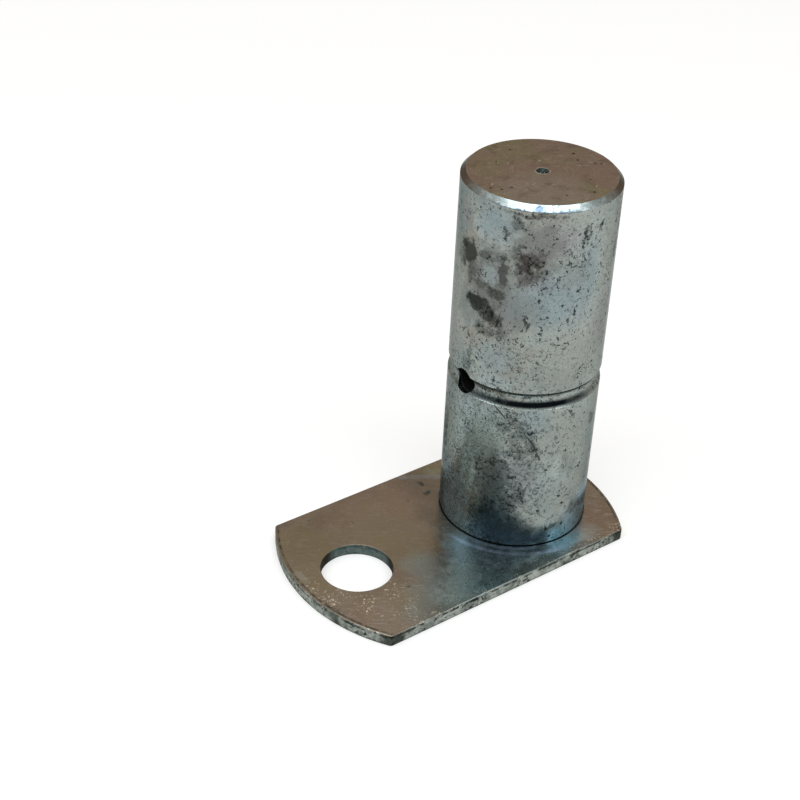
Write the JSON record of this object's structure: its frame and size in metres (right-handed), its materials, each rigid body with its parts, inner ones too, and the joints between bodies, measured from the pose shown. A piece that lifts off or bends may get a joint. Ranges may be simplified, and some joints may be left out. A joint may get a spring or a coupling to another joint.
{
  "type": "quick attach tilt pin",
  "caption": "Zinc-plated steel pivot pin with a grease groove and cross hole, welded into a flat retaining plate whose bolt hole keeps it from turning.",
  "frame": {"origin": "on the shaft axis, in the plate's upper face, which seats on the machine", "axes": "+Z along the shaft to its free end, -X towards the bolt hole in the plate, Y across the plate"},
  "size_m": [0.0896, 0.0508, 0.0987],
  "materials": {
    "plated_shaft": "turned steel, blue zinc plated, stained and pitted",
    "plated_plate": "flat steel plate, zinc plated, with a faint gold tint and cut edges",
    "weld_metal": "plated weld bead",
    "fitting_steel": "small plated fitting"
  },
  "bodies": {
    "root": {"pin_shaft": "plated_shaft", "flag_plate": "plated_plate", "weld_bead": "weld_metal", "grease_fitting": "fitting_steel"}
  },
  "joints": []
}
